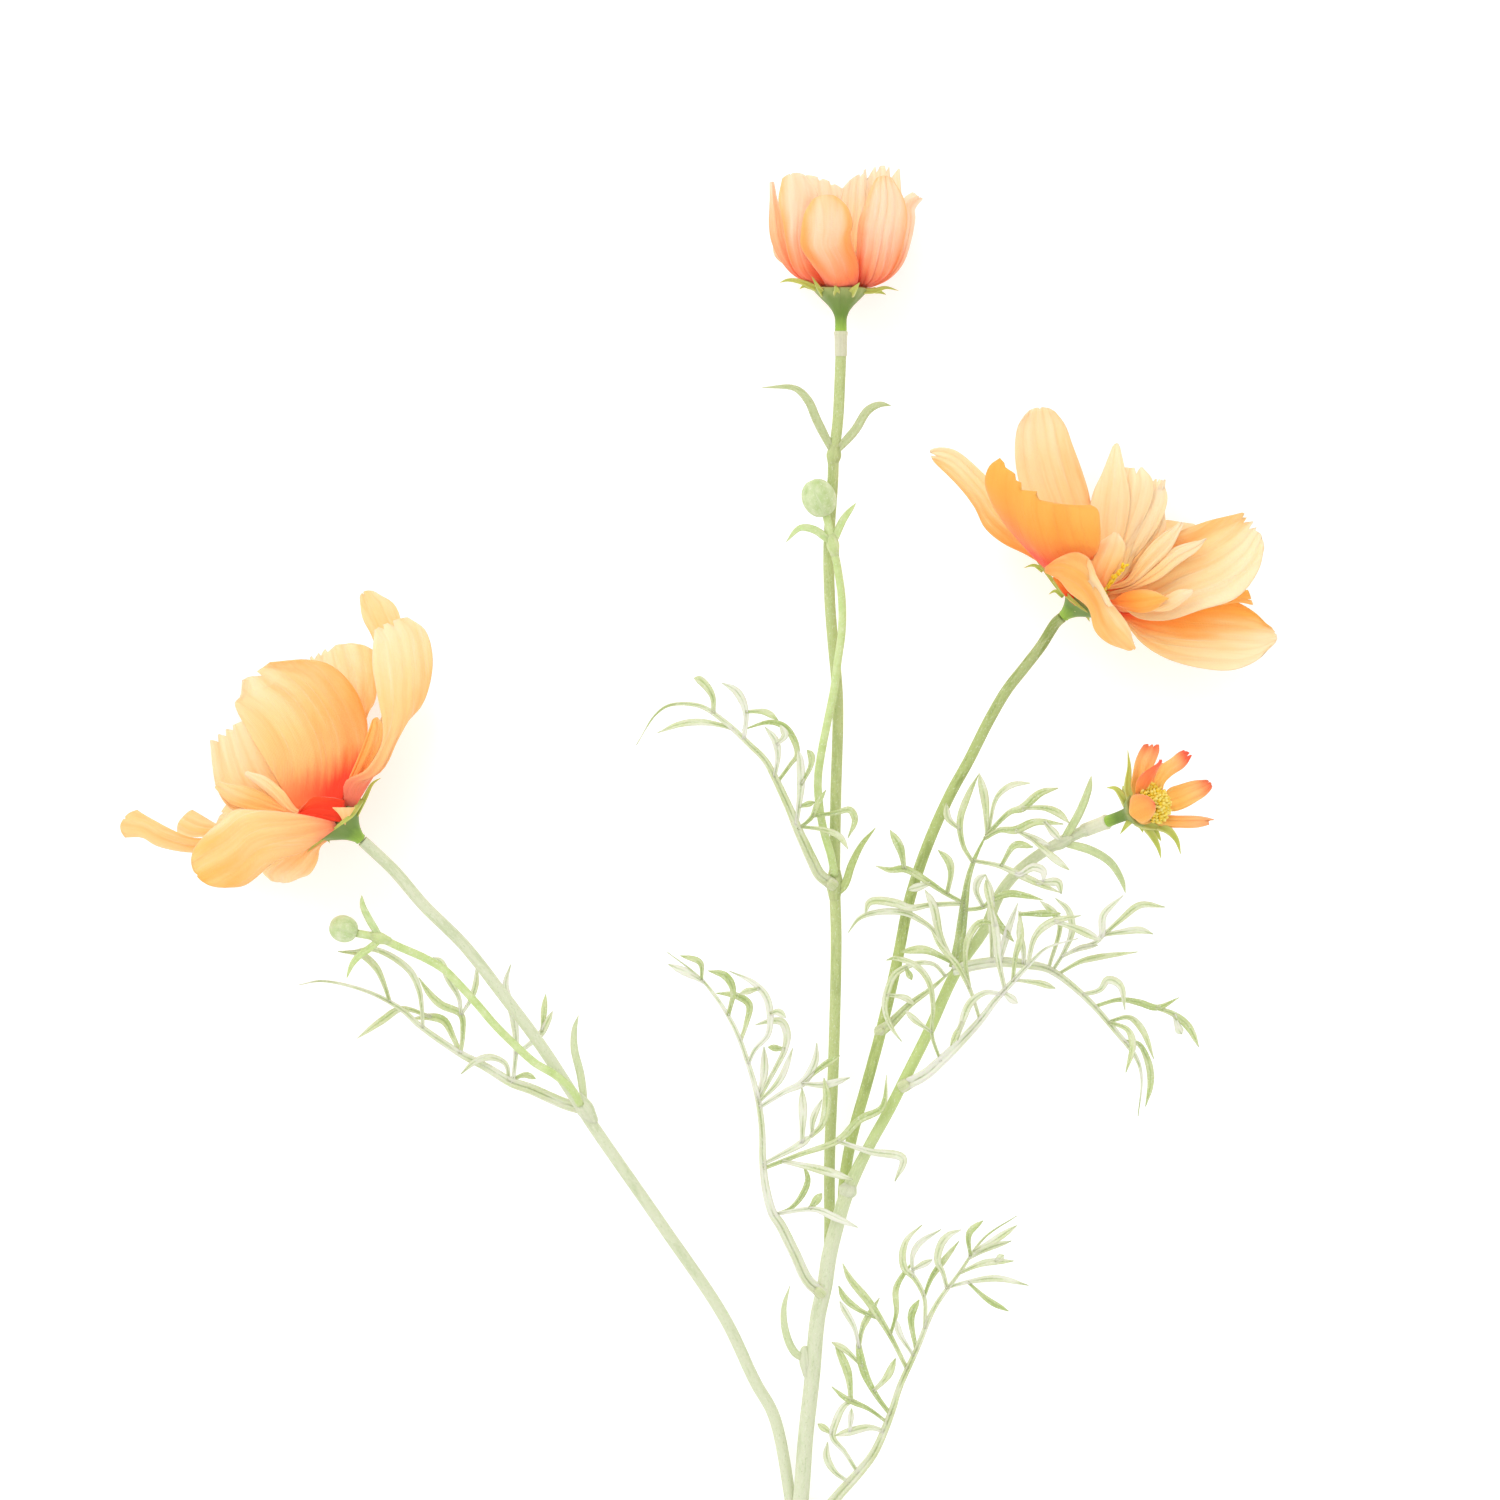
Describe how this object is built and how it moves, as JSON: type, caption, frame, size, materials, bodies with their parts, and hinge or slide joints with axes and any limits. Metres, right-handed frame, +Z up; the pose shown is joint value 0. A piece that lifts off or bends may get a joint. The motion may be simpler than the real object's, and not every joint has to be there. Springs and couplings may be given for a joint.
{
  "type": "cosmos flower spray",
  "caption": "Branched cosmos spray lying flat: peach cup and open blooms on slender forked stems, round buds and feathery leaves.",
  "frame": {"origin": "under the middle of the spray's box, on the surface that it lies on", "axes": "+Y along the main stem from its cut end to the tallest bloom, +Z up from the surface, +X to the side of the small bloom"},
  "size_m": [0.2309, 0.3376, 0.0464],
  "materials": {
    "sage_stem": "flaked pale coating over green",
    "green_stem": "satin",
    "bud": "powdery",
    "leaf": "powdery",
    "calyx": "satin",
    "disc": "matt",
    "pink_petal": "woven, streaked",
    "peach_petal": "woven, streaked",
    "coral_petal": "woven, streaked"
  },
  "bodies": {
    "root": {"main_stem": "sage_stem", "top_stem": "green_stem", "left_branch": "sage_stem", "right_branch": "green_stem", "middle_bud_stalk": "bud", "left_bud_stalk": "bud", "left_leaf": "leaf", "upper_leaf": "leaf", "middle_leaf": "leaf", "right_leaf": "leaf", "front_leaf": "leaf", "lower_leaf": "leaf", "top_bloom_calyx": "calyx", "top_bloom_disc": "disc", "top_bloom_petals": "pink_petal", "right_bloom_calyx": "calyx", "right_bloom_disc": "disc", "right_bloom_petals": "peach_petal", "left_bloom_calyx": "calyx", "left_bloom_disc": "disc", "left_bloom_petals": "peach_petal", "small_bloom_calyx": "calyx", "small_bloom_disc": "disc", "small_bloom_petals": "coral_petal"}
  },
  "joints": []
}
